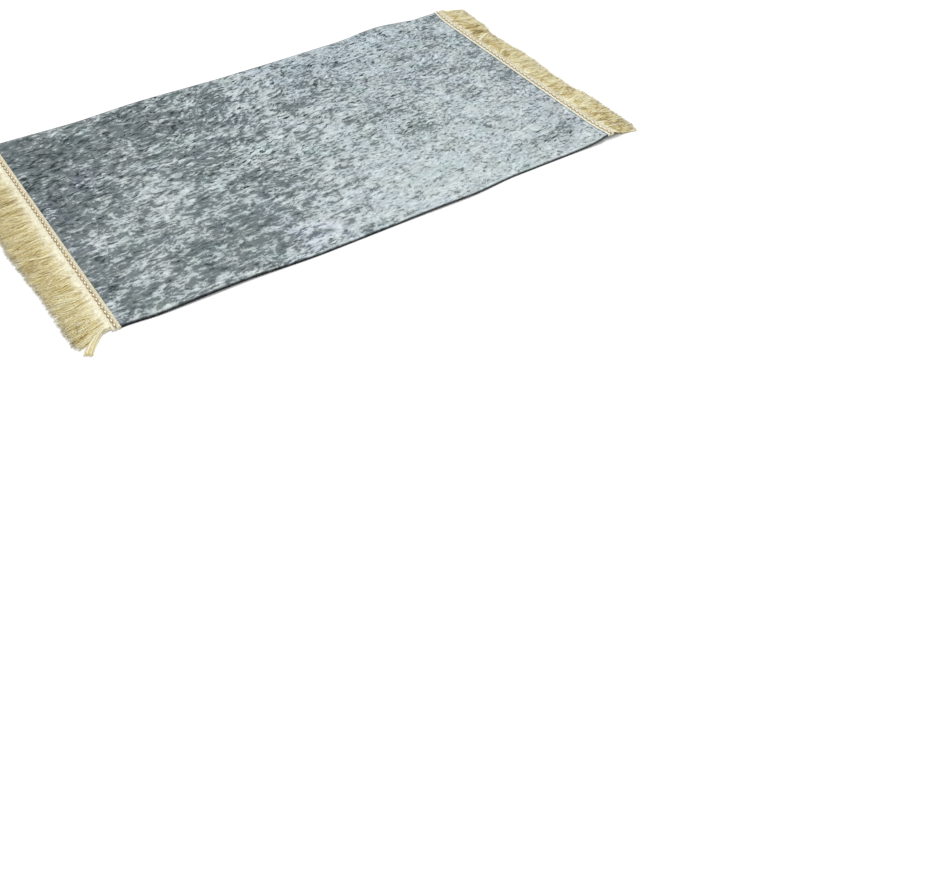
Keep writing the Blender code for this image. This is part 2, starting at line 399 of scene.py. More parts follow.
# Streaked noise: angle of the streaks in degrees, cells to a metre along and across them, place in the
# noise, detail, roughness. The flecks are lengthwise, slanted, crossing and short ones.
FLECKS = (
    (4, 52, 132, 3, 3, 0.66), (36, 62.4, 132, 17, 3, 0.66),
    (-26, 78, 132, 31, 3, 0.66), (15, 96, 142, 57, 3, 0.66),
)
CLOUDS = (10, 16, 26, 47, 3, 0.62)
CLUSTERS = (16, 34, 62, 131, 1, 0.5)
SHIMMER = (14, 120, 190, 71, 2, 0.6)
VEINS = (12, 60, 85, 61, 1, 0.5)
FOLDS = (18, 60, 85, 83, 1, 0.5)
FOLD_PLACES = (10, 30, 45, 91, 1, 0.5)
SPECKS = (11, 42, 150, 113, 2, 0.6)
# How far each turns the pile
FLECK_TURN, CLOUD_TURN, CLUSTER_TURN, SHIMMER_TURN, VEIN_TURN, FOLD_TURN = 1.15, 0.62, 0.42, 0.45, 1.6, -1.4
SPECK_LEVEL = -2.9  # where the pile lies in a speck
CLOUD_CALM, CLUSTER_CALM = -0.3, -0.55  # how much weaker these are where the flecks are short
NOISE_REACH = 0.1  # the noise's own swing about 0.5
LINE_HALF = 0.02  # veins and folds lie where the noise is this near to 0.5
# The streaks are bent by two noises: cells to a metre, how far along X and Y
WARPS = ((30, (0.012, 0.014, 0)), (150, (0.005, 0.006, 0)))
# Islands: cells to a metre, from and to what noise they rise, and from and to what value
SHORT_ISLANDS = (17, 0.47, 0.55)
CROSSING_ISLANDS = (28, 0.54, 0.66)
VEIN_ISLANDS = (40, 0.46, 0.58)
CAST_ISLANDS = (60, 0.4, 0.6)
MOSS_ISLANDS = (11, 0.52, 0.66)
BUSY_ISLANDS = (20, 0.36, 0.64, 0.74, 1.26)
BLUE_ISLANDS = (16, 0.42, 0.58, -0.25, 0.25)
# The velvet beside the tapes: how far it is shaded at the left or lit at the right, how much
LEFT_SHADE = (0.0016, 0.45)
RIGHT_LIGHT = (0.006, 1.25)

# Soft patches: centre x, centre y, reach x, reach y in millimetres, in PATCHES the turn in degrees, then the
# strength in percent. PATCHES turn the pile to its light side.
PATCHES = (
    (-470, 230, 80, 95, 0, -34), (-280, 280, 85, 55, 20, -22), (-85, 265, 35, 95, 5, -18),
    (-180, 190, 70, 45, 20, -24), (-500, 120, 55, 55, 0, -22), (-240, 50, 80, 55, 10, -26),
    (-510, -10, 45, 50, 0, -24), (-115, -90, 60, 50, 20, -26), (-480, -170, 70, 35, 5, -22),
    (-355, -200, 45, 60, 0, -24), (-245, -255, 85, 80, 15, -32), (30, 135, 55, 35, 30, -26),
    (105, 250, 45, 45, 40, -16), (175, 170, 50, 35, 20, -22), (212, 6, 50, 30, -20, -30),
    (232, -75, 55, 40, 30, -30), (470, -266, 100, 34, 12, -32), (-490, -90, 45, 45, 0, 18),
    (495, 245, 30, 35, 0, -8), (520, 10, 35, 80, 0, -24), (350, 290, 110, 55, 0, 24),
    (10, -120, 50, 50, 0, -16), (-475, 300, 32, 30, 20, 26), (-385, 255, 50, 35, 0, 14),
    (-315, 10, 75, 55, 10, 36), (-430, -65, 125, 45, 10, 20), (-525, -180, 35, 35, 0, 28),
    (-425, -232, 60, 42, 15, 22), (-345, -275, 60, 55, 8, -26), (-120, -280, 70, 60, 20, 36),
    (40, 30, 95, 80, 30, 10), (140, -240, 130, 95, 10, 16), (125, 0, 50, 50, 0, -14),
    (-20, 270, 35, 85, 0, 30), (260, 255, 90, 70, 20, 8), (-435, 125, 36, 30, 0, 26),
    (-190, 110, 80, 45, 25, 14), (-90, 140, 60, 40, 30, 2), (-330, 150, 90, 40, 15, 6),
    (-125, 5, 55, 45, 10, 40), (520, 270, 45, 80, 0, 24), (100, 320, 140, 30, 0, 16),
    (-415, 5, 40, 45, 0, -24), (-365, 195, 75, 45, 0, -24), (-130, 290, 60, 50, 0, 14),
    (-130, 85, 40, 35, 0, -14), (-225, -185, 45, 45, 0, -28), (410, 90, 45, 50, 0, -22),
    (320, -190, 45, 45, 0, -14),
)
PATCH_TURN = 2.4
# Where the streaks turn from along the rug to slanting across it
SLANTS = (
    (-100, 200, 130, 160, 90), (80, 240, 120, 120, 80), (-350, 290, 160, 80, 40), (0, -200, 90, 130, 50),
    (380, 200, 150, 120, 40), (-330, -180, 160, 120, 40),
)
# Where the flecks stand out more or less than elsewhere
BUSY = (
    (200, -280, 300, 110, -24), (300, 300, 160, 90, -24), (0, 300, 70, 60, -20), (-180, 190, 80, 50, 45),
    (-450, 80, 90, 160, 12), (280, -20, 110, 110, 14), (50, 70, 50, 150, -14), (-200, -200, 100, 50, -16),
    (450, -190, 90, 50, -14),
)
# Where the pile has a lavender cast
LAVENDER = (
    (-440, 128, 45, 35, 100), (-160, -285, 60, 45, 60), (350, 110, 120, 80, 25), (-100, -305, 50, 35, 50),
    (-540, 20, 30, 50, 60), (180, 270, 120, 60, 30), (520, -120, 50, 140, 50), (-520, -100, 40, 30, 50),
)
# Where the pile is bluest
BLUES = ((270, 300, 300, 160, 60),)
# Where deep dark specks show between the streaks
SPECK_PLACES = (
    (-20, 190, 260, 150, 80), (240, 290, 300, 80, 60), (-120, -20, 130, 100, 80), (380, 180, 120, 110, 30),
    (220, -30, 80, 80, 60), (470, -268, 110, 40, 60), (-460, 120, 110, 120, 60), (-270, 230, 140, 90, 70),
)


def pile(red):
    """The pile's own colour where the red that is seen of it has this screen value."""
    seen = rgb(red, red + GREENER, red + BLUER)
    return tuple(max(0.004, (part - LIGHT_OFFSET) / LIGHT_GAIN) for part in seen[:3]) + (1.0,)


def pile_level(made, flat):
    """The pile's turn: flecks and shimmer on patches and painted light, with veins, folds and specks."""
    warped = flat
    for cells, reach in WARPS:
        off = made.vector("SUBTRACT", made.noise(flat, cells, 1.0, output=1), (0.5, 0.5, 0.5))
        warped = made.vector("ADD", warped, made.scaled(off, reach))

    def streaks(angle, along, across, shift, detail, roughness):
        turned = made.node("ShaderNodeVectorRotate", {"rotation_type": "Z_AXIS"}, Vector=warped,
                           Angle=-math.radians(angle)).outputs[0]
        scaled = made.scaled(turned, (along, across, 1.0))
        return made.noise(made.vector("ADD", scaled, (0.0, 0.0, shift)), 1.0, detail, roughness)

    def swung(value, much):
        return made.plus(-0.5 * much / NOISE_REACH, value, much / NOISE_REACH)

    def lines(row):
        off = made.maths("ABSOLUTE", made.plus(-0.5, streaks(*row)))
        return made.span(off, 0.0, LINE_HALF, 1.0, 0.0)

    short_here, speck_here = made.value("short"), made.value("speck")
    lengthwise, slanted, crossing, short = [streaks(*row) for row in FLECKS]
    lengthwise = made.mix(made.times(made.islands(flat, *SHORT_ISLANDS), short_here), lengthwise, short)
    swing = made.plus(made.value("slant"), made.plus(-1.36, made.noise(flat, 20.0, 1.0), 2.6))
    fleck = made.mix(made.span(swing, 0.35, 0.75), lengthwise, slanted)
    fleck = made.mix(made.islands(flat, *CROSSING_ISLANDS), fleck, crossing)
    busy = made.times(made.islands(flat, *BUSY_ISLANDS, smooth=False), made.value("busy"))
    fleck = made.times(swung(fleck, FLECK_TURN), busy)
    cloud = made.times(swung(streaks(*CLOUDS), CLOUD_TURN), made.plus(1.0, short_here, CLOUD_CALM))
    cluster = made.times(swung(streaks(*CLUSTERS), CLUSTER_TURN), made.plus(1.0, short_here, CLUSTER_CALM))
    # the pile's lie comes with a painted sheen of the nap and a painted highlight behind the hems
    patches = made.plus(made.plus(cloud, cluster), made.value("lie_and_painted_light"))
    shimmer = made.times(swung(streaks(*SHIMMER), SHIMMER_TURN), made.span(patches, 0.2, 1.3, 0.35, 1.0))
    vein = made.times(lines(VEINS), made.islands(flat, *VEIN_ISLANDS))
    fold = made.times(lines(FOLDS), made.span(streaks(*FOLD_PLACES), 0.52, 0.62))
    level = made.plus(made.plus(fleck, patches), shimmer)
    level = made.plus(made.plus(level, vein, VEIN_TURN), fold, FOLD_TURN)
    speck = made.span(made.plus(streaks(*SPECKS), speck_here, 0.045), 0.632, 0.672)
    speck = made.times(speck, made.span(speck_here, 0.0, 0.7, 0.3, 1.0))
    return made.plus(made.times(level, made.plus(1.0, speck, -1.0)), speck, SPECK_LEVEL)


def pile_colour(made, flat, turned):
    """The pile's colour at a share of the way through its shades, with casts, dark hems and painted shade."""
    lowest, highest = PILE_SHADES[0][0], PILE_SHADES[-1][0]
    colour = made.ramp(turned, [((at - lowest) / (highest - lowest), pile(red)) for at, red in PILE_SHADES])
    cast = made.times(made.value("cast"), made.islands(flat, *CAST_ISLANDS, detail=2.0))
    colour = made.mix(cast, colour, made.scaled(colour, LAVENDER_TINT))
    moss = made.times(made.islands(flat, *MOSS_ISLANDS, detail=2.0), MOSS_SHARE)
    colour = made.mix(moss, colour, made.scaled(colour, MOSS_TINT))
    blue = made.plus(made.value("blue"), made.islands(flat, *BLUE_ISLANDS))
    colour = made.mix(blue, made.scaled(colour, WARM_TINT), made.scaled(colour, COOL_TINT))
    colour = made.shaded(colour, made.value("dark_hem_and_painted_shade"))
    beside = made.node("ShaderNodeSeparateXYZ", {}, Vector=made.place()).outputs["X"]
    left, right = MIDDLE[0] - TAPE_START, MIDDLE[0] + TAPE_START
    colour = made.shaded(colour, made.span(beside, left, left + LEFT_SHADE[0], LEFT_SHADE[1], 1.0))
    return made.shaded(colour, made.span(beside, right - RIGHT_LIGHT[0], right, 1.0, RIGHT_LIGHT[1]))


def velvet_material():
    """Crushed pile: patches and flecks of light pile on slate, streaked along the rug."""
    made = Shader("crushed_velvet", 0.75, Sheen_Weight=0.12, Sheen_Roughness=0.35,
                  Sheen_Tint=(0.85, 0.93, 1.0, 1.0), Specular_IOR_Level=0.15)
    flat = made.scaled(made.place(), (1.0, 1.0, 0.0))
    turned = made.span(pile_level(made, flat), PILE_SHADES[0][0], PILE_SHADES[-1][0], smooth=False)
    grain = made.noise(flat, 900.0, 1.0)
    colour = made.shaded(pile_colour(made, flat, turned), made.plus(0.92, grain, 0.16))
    return made.finish(colour, made.plus(turned, grain, 0.12), depth=0.0016, strength=0.5)


def backing_material():
    """The bonded grey base cloth under the pile."""
    made = Shader("base_cloth", 0.9)
    threads, picks = [
        made.node("ShaderNodeTexWave", {"wave_type": "BANDS", "bands_direction": way}, Vector=made.place(),
                  Scale=260.0, Distortion=0.4).outputs["Fac"]
        for way in "XY"
    ]
    weave = made.times(threads, picks)
    colour = made.mix(weave, rgb(140, 148, 152), rgb(170, 176, 178))
    return made.finish(colour, weave, depth=0.0003, strength=0.6)


# ---- velvet: its shape

COLUMNS = 300  # cells of the cloth along X
INNER_ROWS = 160  # cells across it, between the narrow rows by the hems
UNDER_ROWS = 20
# The narrow rows: distance in from the edge, drop below the top
HEM_ROWS = (
    (0.0, 0.00085), (0.0007, 0.00036), (0.0016, 0.0001), (0.003, 0.0), (0.0055, 0.0), (0.009, 0.0),
)
INNER_START = 0.0125
UNDER_START = 0.001
# The nose of the hem, from top to bottom: outward, share of the thickness
HEM_NOSE = ((0.00065, 0.58), (0.00095, 0.4), (0.0008, 0.22), (0.0001, 0.06), (-0.001, 0.0))
# Low relief of the nap: length of its waves, seed, height; it fades over a strip along the edges
RELIEF = ((0.017, 5, 0.00012), (0.045, 6, 0.00022))
RELIEF_FADE = 0.006
# The faint crease that a fold has left: points along it, depth, half width, how dark its painted shade is
CREASE = ((0.032, -0.105), (0.024, -0.16), (0.01, -0.22), (-0.012, -0.285))
CREASE_DEPTH = 0.0005
CREASE_HALF = 0.0035
CREASE_PAINTED_SHADE = 0.22
# The rolled edges, dark backing with painted shade: distance in, share of the pile's own brightness
HEM_DARK_AND_SHADE = 0.06
FRONT_HEM_DARK_AND_SHADE = ((0.0, HEM_DARK_AND_SHADE), (0.0009, 0.22), (0.0022, 0.7), (0.0034, 1.0))
BACK_HEM_DARK_AND_SHADE = ((0.0, HEM_DARK_AND_SHADE), (0.0016, 0.42), (0.0052, 1.0))
# Painted highlight on the pile behind the rolled edges, painted shade of a groove at the front right:
# distance in, half width, how much
HEM_PAINTED_HIGHLIGHT = (0.0056, 0.0018, 0.9)
HEM_HIGHLIGHT_WIDER = 0.002  # how much wider it is at the right end
GROOVE_SHADE = (0.009, 0.0016, 0.16)


def near_crease(x, y):
    """1 on the crease, falling to 0 a few millimetres beside it."""
    line = np.array(CREASE)
    best = np.full(x.shape, 9.0)
    for (ax, ay), (way_x, way_y) in zip(line, np.diff(line, axis=0)):
        share = np.clip(((x - ax) * way_x + (y - ay) * way_y) / (way_x ** 2 + way_y ** 2), 0, 1)
        best = np.minimum(best, np.hypot(x - ax - share * way_x, y - ay - share * way_y))
    return np.exp(-(best / CREASE_HALF) ** 2)


def velvet_rows(front, back):
    """The rows of the cloth, once round its section from the front edge: Y, height, kind."""
    rows = [(front + inward, PANEL_THICK - drop, "pile") for inward, drop in HEM_ROWS]
    for share in np.arange(INNER_ROWS + 1) / INNER_ROWS:
        y = (front + INNER_START) * (1.0 - share) + (back - INNER_START) * share
        rows.append((y, PANEL_THICK, "pile"))
    rows += [(back - inward, PANEL_THICK - drop, "pile") for inward, drop in reversed(HEM_ROWS)]
    rows += [(back + outward, PANEL_THICK * share, "hem") for outward, share in HEM_NOSE]
    for share in np.arange(1, UNDER_ROWS) / UNDER_ROWS:
        y = (back - UNDER_START) * (1.0 - share) + (front + UNDER_START) * share
        rows.append((y, 0.0, "under"))
    rows += [(front - outward, PANEL_THICK * share, "hem") for outward, share in reversed(HEM_NOSE)]
    return zip(*rows)


def pile_values(piece, px, py, from_edge, on_pile):
    """Stores what the pile's material reads at each point: lie, casts, hems, painted light and shade."""
    place = (px / MM, py / MM)
    # painted highlight behind the rolled edges, wider at the right end
    highlight_at, highlight_half, highlight_much = HEM_PAINTED_HIGHLIGHT
    highlight_half = highlight_half + HEM_HIGHLIGHT_WIDER * ease(0.38, 0.52, px)
    # painted sheen of the nap, then the patches of crushed pile
    lie_and_painted_light = eased(PAINTED_NAP_SHEEN, px + PAINTED_NAP_SHEEN_SKEW * py) + PAINTED_NAP_SHEEN_ACROSS * py
    lie_and_painted_light = lie_and_painted_light + PATCH_TURN * patched(*place, PATCHES)
    # the painted shade along the front hem is wider at the left, where the cloth lifts
    front = np.interp(from_edge / (2.1 - 0.8 * ease(-0.45, -0.05, px)), *zip(*FRONT_HEM_DARK_AND_SHADE))
    rolled = np.where(py > 0.0, np.interp(from_edge, *zip(*BACK_HEM_DARK_AND_SHADE)), front)
    # painted shade of a groove along the hem at the front right
    groove_shade_at, groove_shade_half, groove_shade_much = GROOVE_SHADE
    groove_shade = np.exp(-((from_edge - groove_shade_at) / groove_shade_half) ** 2) * ease(0.42, 0.5, px) * (py < 0.0)
    # painted shade in the crease, on top of its shallow trough in the shape
    dark_hem_and_painted_shade = (1.0 - CREASE_PAINTED_SHADE * near_crease(px, py)) * (1.0 - groove_shade_much * groove_shade)
    values = {
        "lie_and_painted_light": lie_and_painted_light + highlight_much * np.exp(-((from_edge - highlight_at) / highlight_half) ** 2),
        "short": ease(0.02, 0.3, px),
        "speck": np.clip(0.2 + patched(*place, SPECK_PLACES), 0.0, 1.0),
        "busy": 1.0 + patched(*place, BUSY),
        "slant": patched(*place, SLANTS),
        "cast": patched(*place, LAVENDER),
        "blue": 0.22 + 0.2 * ease(-0.5, -0.1, px) + patched(*place, BLUES),
        "dark_hem_and_painted_shade": dark_hem_and_painted_shade * np.where(on_pile, rolled, HEM_DARK_AND_SHADE),
    }
    for name, numbers in values.items():
        point_values(piece, name, numbers)


def make_velvet():
    """The cloth as one closed thin sheet: piled top, rounded hems and plain underside."""
    x = np.linspace(-PANEL_END, PANEL_END, COLUMNS + 1)
    outline_x = np.clip(x, -SWELL_LIMIT, SWELL_LIMIT)
    front, back = edge_y(outline_x, 0.0), edge_y(outline_x, 1.0)
    y_rows, z_rows, kinds = velvet_rows(front, back)
    y = np.stack(y_rows, axis=1)
    wide_x = np.broadcast_to(x[:, None], y.shape)
    is_pile = np.array([kind == "pile" for kind in kinds])
    from_edge = np.minimum(y - front[:, None], back[:, None] - y)
    inside = ease(0.0, RELIEF_FADE, from_edge) * is_pile[None, :]
    inside = inside * ease(0.0, RELIEF_FADE, TAPE_START - 0.001 - np.abs(wide_x))
    relief = sum(ripple(wide_x, y, wave, seed) * high for wave, seed, high in RELIEF)
    relief = relief - near_crease(wide_x, y) * CREASE_DEPTH
    height = lift(wide_x, y) + np.array(z_rows)[None, :] + inside * relief

    count, ring = y.shape
    points = np.stack((wide_x, y, height), axis=-1).reshape(-1, 3)
    under = np.array([kind == "under" for kind in kinds])
    numbers = np.tile(under | np.roll(under, -1), count - 1).tolist() + [0, 0]
    piece = mesh_piece("velvet", points, ring_faces(1, count, ring), [velvet_material(), backing_material()],
                       numbers)
    on_pile = np.broadcast_to(is_pile, y.shape).ravel()
    pile_values(piece, points[:, 0], points[:, 1], from_edge.ravel(), on_pile)

    # The bake map gives the pile the part above 0.08 and the hems and underside the strip below 0.06
    spread = np.cumsum(np.hypot(np.diff(y[0], append=y[0, :1]), 0.0003))
    v = np.where(is_pile, 0.08 + 0.915 * np.arange(ring) / is_pile.sum(), 0.06 * (1.0 - spread / spread[-1]))
    u = 0.003 + 0.994 * np.arange(count) / (count - 1)
    bake_map(piece, np.stack(np.broadcast_arrays(u[:, None], v), axis=-1).reshape(-1, 2))
    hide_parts("velvet_panel")
    return piece


velvet = make_velvet()

# ---- tapes

RIBS = 300  # woven ribs across the tape
RIB_HEIGHT = 0.00016
# The ribbon's section, in millimetres: place past the tape's start, height over the gap to the cloth; then
# the share of the rib's height
RIBBON = (
    (2.0, 0.1, 0.0), (2.0, 0.7, 0.5), (3.0, 0.9, 1.0), (4.6, 0.9, 1.0), (8.0, 0.8, 1.0), (11.4, 0.9, 1.0),
    (13.2, 0.9, 1.0), (15.2, 0.7, 0.5), (15.2, 0.1, 0.0), (8.5, 0.0, 0.0),
)
PICOTS = 150  # loops along the tape's inner edge, and turns of the two-ply cord along the outer one
PICOT_STEPS = 8  # points of the looped yarn for each picot
# The looped yarn: its place past the tape's start, half width and half height
PICOT_YARN = {"left": (0.0008, 0.00105, 0.00055), "right": (0.0006, 0.0012, 0.0005)}
PICOT_SWING = 0.0008
CORD_PLACE = (0.0142, 0.0011)  # past the tape's start, over the cloth
CORD_SWING = (0.0004, 0.00034)
CORD_PLY = (0.00062, 0.00055)  # half width and half height
YARN_SIDES = 5
TURN_RADIUS = 0.0015  # the tape's ends turn down over the hems
TURN_START = 0.002  # share of the way across at which they begin to turn
TURN_LENGTH = 0.002
TURN_ANGLE = math.radians(82.0)


def yarn_material(name, dark, light, roughness, cells, spread, fibres, **gloss):
    """Yarn with soft darker and lighter places and fine fibres along it."""
    made = Shader(name, roughness, **gloss)
    place = made.place()
    tint = made.span(made.noise(place, cells, 3.0, 0.6), 0.5 - spread, 0.5 + spread)
    fibre = made.noise(made.scaled(place, fibres), 1.0, 2.0)
    return made.finish(made.mix(tint, dark, light), fibre, depth=0.0002, strength=0.5)


def cream_material(name, dark, light, roughness):
    """Soft cream cotton."""
    return yarn_material(name, dark, light, roughness, 260.0, 0.18, (900, 2600, 900),
                         Sheen_Weight=0.15, Sheen_Roughness=0.4, Specular_IOR_Level=0.3)


def gold_material(name, dark, light):
    """Lustrous gold rayon."""
    return yarn_material(name, dark, light, 0.38, 330.0, 0.16, (1600, 2400, 1600),
                         Sheen_Weight=0.1, Specular_IOR_Level=0.6)


def trim_path(side, run, place, up):
    """Points at shares of the way along a trim; past 0 and 1 they turn down over the hem.

    place is the distance past the tape's start, and up the height over the cloth.
    """
    share = np.clip(run, TURN_START, 1.0 - TURN_START)
    y, low = end_line(side, share)
    past = (run - share) * PANEL_WIDTH
    angle = np.minimum(np.abs(past) / TURN_RADIUS, TURN_ANGLE)
    rest = np.maximum(0.0, np.abs(past) - TURN_RADIUS * TURN_ANGLE)
    aside = TURN_RADIUS * np.sin(angle) + rest * np.cos(angle) + up * np.sin(angle)
    down = TURN_RADIUS * (1.0 - np.cos(angle)) + rest * np.sin(angle)
    x = SIDES[side] * (TAPE_START + place)
    z = low + PANEL_THICK - down + up * np.cos(angle)
    return np.stack(np.broadcast_arrays(x, y + np.sign(past) * aside, z), axis=-1)


def whole_run(cells):
    """Shares of the way along a trim in even cells, with its turned ends."""
    more = max(3, round(TURN_LENGTH / PANEL_WIDTH * cells))
    ends = np.arange(1, more + 1) / more * TURN_LENGTH / PANEL_WIDTH
    return np.concatenate((-ends[::-1], np.arange(cells + 1) / cells, 1.0 + ends))


def yarn(side, run, place, up, half_width, half_height):
    """One yarn that runs along a trim."""
    path = trim_path(side, run, place, up)[None]
    return tubes(path, X_AXIS, half_width, half_height, YARN_SIDES)


def plies(side, run, turn, place, up, swing, ply):
    """Two yarns that turn round each other."""
    return [
        yarn(side, run, place + swing[0] * np.cos(turn + start), up + swing[1] * np.sin(turn + start), *ply)
        for start in (0.0, math.pi)
    ]


def make_tape(side, materials):
    """The woven ribbon with its looped inner edge and its two-ply cord along the outer edge."""
    run = whole_run(2 * RIBS)
    rib = RIB_HEIGHT * (np.arange(len(run)) % 2)
    rings = [trim_path(side, run, place * MM, FIT + up * MM + rib * much) for place, up, much in RIBBON]
    faces = ring_faces(1, len(run), len(rings))
    if side == "right":
        faces = [face[::-1] for face in faces]
    ribbon = (np.stack(rings, axis=1).reshape(-1, 3), faces)

    run = whole_run(PICOTS * PICOT_STEPS)
    turn = 2.0 * math.pi * run * PICOTS
    swing = np.cos(turn)
    near, wide, high = PICOT_YARN[side]
    loops = yarn(side, run, near - PICOT_SWING * swing, 0.0014 + 0.0002 * swing, wide, high)
    edging = yarn(side, run, near + 0.0016 + 0.0002 * swing, 0.0017, 0.85 * wide, 0.75 * high)
    cord = plies(side, run, turn, *CORD_PLACE, CORD_SWING, CORD_PLY)
    points, faces, numbers = joined([ribbon, loops, edging, *cord])
    kinds = [(0, 1, 1, 2, 2)[number] for number in numbers]
    piece = mesh_piece(f"tape_{side}", points, faces, materials, kinds)
    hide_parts(f"heading_tape_{side}")
    return piece


# ---- chain braids

LINK_STEPS = 12  # points of a yarn for each link
BRAID_SWING = 0.00245  # how far the two yarns swing either side of the braid's middle
BRAID_RISE = 0.00042  # how far a yarn climbs to pass over the other
BRAID_UP = 0.00095  # the middle of the yarns over the tape
BRAID_PLY_TURNS = 5.0  # for each turn of the chain
BRAID_PLY_SWING = (0.0003, 0.00016)
BRAID_PLY = (0.00052, 0.00046)
BEAD_RINGS = 6
BEAD_SIDES = 8
BEAD_LENGTH = 0.26  # half of it, in links
BEAD_HALF = (0.0016, 0.00125)


def make_braid(side, materials):
    """Two gold yarns that cross over and under each other, with a cream bead in each eye."""
    middle = BRAID_INSET + BRAID_WIDTH / 2.0
    base = FIT + TAPE_THICK + FIT + BRAID_UP
    steps = BRAID_LINKS * LINK_STEPS
    run = np.arange(steps + 1) / steps
    turn = math.pi * run * BRAID_LINKS
    parts = []
    for direction in (1.0, -1.0):
        swing = direction * BRAID_SWING * np.sign(np.sin(turn)) * np.abs(np.sin(turn)) ** 1.15
        rise = direction * BRAID_RISE * np.cos(turn)
        place, up = middle + swing, base + rise
        parts += plies(side, run, turn * BRAID_PLY_TURNS, place, up, BRAID_PLY_SWING, BRAID_PLY)
    link = (np.arange(BRAID_LINKS) + 0.5) / BRAID_LINKS
    centre = trim_path(side, link, middle, base - 0.0001)
    half_length = (centre[1, 1] - centre[0, 1]) * BEAD_LENGTH
    along = np.linspace(-1.0, 1.0, BEAD_RINGS)
    belly = np.sqrt(np.maximum(0.0, 1.0 - along ** 2)) + 0.06
    paths = centre[:, None, :] + along[None, :, None] * np.array((0.0, half_length, 0.0))
    wide, high = BEAD_HALF
    parts.append(tubes(paths, X_AXIS, wide * belly[None], high * belly[None], BEAD_SIDES))
    points, faces, numbers = joined(parts)
    kinds = [number // 4 for number in numbers]
    piece = mesh_piece(f"chain_{side}", points, faces, materials, kinds)
    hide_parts(f"gold_braid_{side}")
    return piece


cream = cream_material("cream_ribbon", rgb(212, 206, 178), rgb(238, 233, 212), 0.8)
white_yarn = cream_material("white_yarn", rgb(235, 227, 200), rgb(251, 247, 230), 0.7)
# painted shade: a darker copy of the white yarn, for the left loops
white_yarn_painted_shade = cream_material("white_yarn_painted_shade", rgb(216, 210, 186), rgb(240, 235, 214), 0.7)
bead_yarn = cream_material("bead_yarn", rgb(244, 234, 206), rgb(255, 250, 234), 0.6)
GOLDS = {
    "left": gold_material("gold_yarn", rgb(122, 94, 38), rgb(190, 160, 86)),
    # painted light: the right braid's gold is a paler copy of the left's
    "right": gold_material("gold_yarn_painted_light", rgb(124, 108, 70), rgb(220, 208, 168)),
}
# the right cord takes the lighter bead yarn: painted light on the same white cord
YARNS = {"left": (white_yarn_painted_shade, white_yarn), "right": (white_yarn, bead_yarn)}  # the loops' yarn, the cord's
for side_name in SIDES:
    make_tape(side_name, [cream, *YARNS[side_name]])
    make_braid(side_name, [GOLDS[side_name], bead_yarn])

# ---- fringes

STRAND_STEPS = 8
STRAND_SIDES = 4
STRAND_WIDTH = 0.00052  # half of it; the height too
STRAND_HEIGHT = 0.00024
FRINGE_START = {"left": 0.012, "right": 0.0}  # share of the way across; the swept tuft is before it
FRINGE_SEED = {"left": 1, "right": 2}
TUFTS = 84  # wider tufts that lean together
TUFT_LEAN = 1.4  # spread of their lean in degrees
TUFT_BOW = 0.0012
TUFT_SHORT = 0.0024  # the most that a tuft is shorter
RAGGED = 0.003  # how uneven the yarns' lengths are, and the strands'
BROKEN = (0.14, 0.02)  # share of the strands that are shorter, by how much at most
SHORTEST = 0.03  # no strand is shorter than the others by more than this
# The layers of a fringe. Yarns: how many, how far they draw together, spread of their lean in degrees and
# of their bow, rise of the hump, shade, share of the length. Strands: how many to a yarn, how far apart,
# spread of their lean, place and height of the root, height along the floor.
LAYERS = {
    "under": ((230, (0.0, 0.1), 2.5, 0.0012, (0.0, 0.0006), -0.08, (0.94, 1.0)),
              (7, 0.0024, 4.0, 0.563, 0.0044, 0.0004)),
    "over": ((540, (0.0, 0.3), 4.0, 0.003, (0.0, 0.0014), 0.0, (0.95, 1.0)),
             (5, 0.0018, 7.0, 0.5624, 0.0053, 0.0011)),
    "wisps": ((150, (0.0, 0.5), 13.0, 0.0075, (0.0006, 0.002), 0.12, (0.6, 1.0)),
              (5, 0.0022, 5.0, 0.5624, 0.0054, 0.0021)),
}
# How uneven the shades are: from tuft to tuft, yarn to yarn, strand to strand, place to place
UNEVEN = {"left": (0.03, 0.12, 0.22, 0.09), "right": (0.1, 0.2, 0.2, 0.2)}
PALE_RUN = {"left": 1.0, "right": 0.65}  # below 1 the pale roots pass into gold sooner
# Lighter and darker places: Y in millimetres, share of the way along the strands, both reaches, percent
FRINGE_TONES_AND_PAINTED_SHADE = {
    "left": (
        (-105, 0.7, 30, 0.22, -16), (-165, 0.62, 26, 0.22, -14), (-35, 0.65, 24, 0.25, -10),
        (-300, 0.75, 24, 0.3, -12), (-225, 0.6, 20, 0.3, 14), (-140, 0.2, 50, 0.2, 8),
        (-180, 0.4, 200, 0.4, 4),
    ),
    "right": (
        (0, 0.18, 9000, 0.13, -6), (-150, 0.75, 260, 0.3, 21), (170, 0.9, 200, 0.3, 27),
        (215, 0.55, 34, 0.4, -44), (130, 0.5, 22, 0.3, -24), (265, 0.3, 20, 0.2, -14),
        (-138, 0.5, 30, 0.35, -18), (-262, 0.5, 20, 0.4, -12), (-318, 0.65, 22, 0.4, -30),
        (318, 0.6, 26, 0.5, 18), (-205, 0.45, 18, 0.3, 16), (-60, 0.5, 30, 0.4, 8),
        # painted shade: the first row here darkens the tips of the right fringe
        (140, 1.0, 140, 0.07, -20), (278, 0.55, 16, 0.4, 18), (86, 0.45, 14, 0.3, -22),
        (50, 0.6, 14, 0.4, 18), (108, 0.8, 12, 0.3, 16), (18, 0.35, 12, 0.25, -20),
    ),
}


